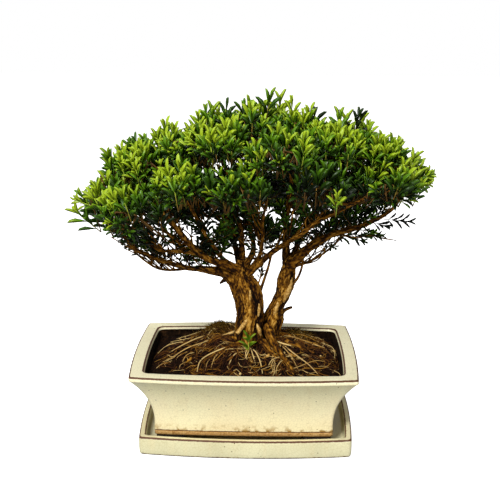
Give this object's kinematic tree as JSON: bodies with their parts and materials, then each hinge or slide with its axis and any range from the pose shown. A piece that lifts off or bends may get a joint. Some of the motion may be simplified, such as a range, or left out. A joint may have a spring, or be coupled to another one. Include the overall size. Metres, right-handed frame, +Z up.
{
  "type": "boxwood bonsai",
  "caption": "Twin-trunked boxwood bonsai with a wide dense crown of small leaves, in a rectangular cream-glazed pot that stands in a matching saucer.",
  "frame": {"origin": "on the table, under the centre of the pot, at the saucer's flat underside", "axes": "+Z up, +X to the right of the tree's front, +Y towards its back"},
  "size_m": [0.396, 0.2522, 0.3786],
  "materials": {
    "cream_glaze": "glossy crackle glaze with brown edges",
    "mesh_plastic": "moulded mesh",
    "potting_soil": "damp loose soil with fine roots",
    "bark": "flaky tan bark",
    "boxwood_leaf": "satin leaf",
    "young_leaf": "satin young leaf"
  },
  "bodies": {
    "root": {"saucer": "cream_glaze", "pot": "cream_glaze", "drainage_mesh_left": "mesh_plastic", "drainage_mesh_right": "mesh_plastic", "soil": "potting_soil", "tree_wood": "bark", "basal_sprout": "young_leaf", "leafy_spray_01": "boxwood_leaf", "leafy_spray_02": "boxwood_leaf", "leafy_spray_03": "boxwood_leaf", "leafy_spray_04": "boxwood_leaf", "leafy_spray_05": "boxwood_leaf", "leafy_spray_06": "boxwood_leaf", "leafy_spray_07": "boxwood_leaf", "leafy_spray_08": "boxwood_leaf", "leafy_spray_09": "boxwood_leaf", "leafy_spray_10": "boxwood_leaf", "leafy_spray_11": "boxwood_leaf", "leafy_spray_12": "boxwood_leaf", "leafy_spray_13": "boxwood_leaf", "leafy_spray_14": "boxwood_leaf", "leafy_spray_15": "boxwood_leaf", "leafy_spray_16": "boxwood_leaf", "leafy_spray_17": "boxwood_leaf", "leafy_spray_18": "boxwood_leaf", "leafy_spray_19": "boxwood_leaf", "leafy_spray_20": "boxwood_leaf", "leafy_spray_21": "boxwood_leaf", "leafy_spray_22": "boxwood_leaf", "leafy_spray_23": "boxwood_leaf", "leafy_spray_24": "boxwood_leaf", "leafy_spray_25": "boxwood_leaf", "leafy_spray_26": "boxwood_leaf", "leafy_spray_27": "boxwood_leaf", "leafy_spray_28": "boxwood_leaf", "leafy_spray_29": "boxwood_leaf", "leafy_spray_30": "boxwood_leaf", "leafy_spray_31": "boxwood_leaf", "leafy_spray_32": "boxwood_leaf", "leafy_spray_33": "boxwood_leaf", "leafy_spray_34": "boxwood_leaf"}
  },
  "joints": []
}
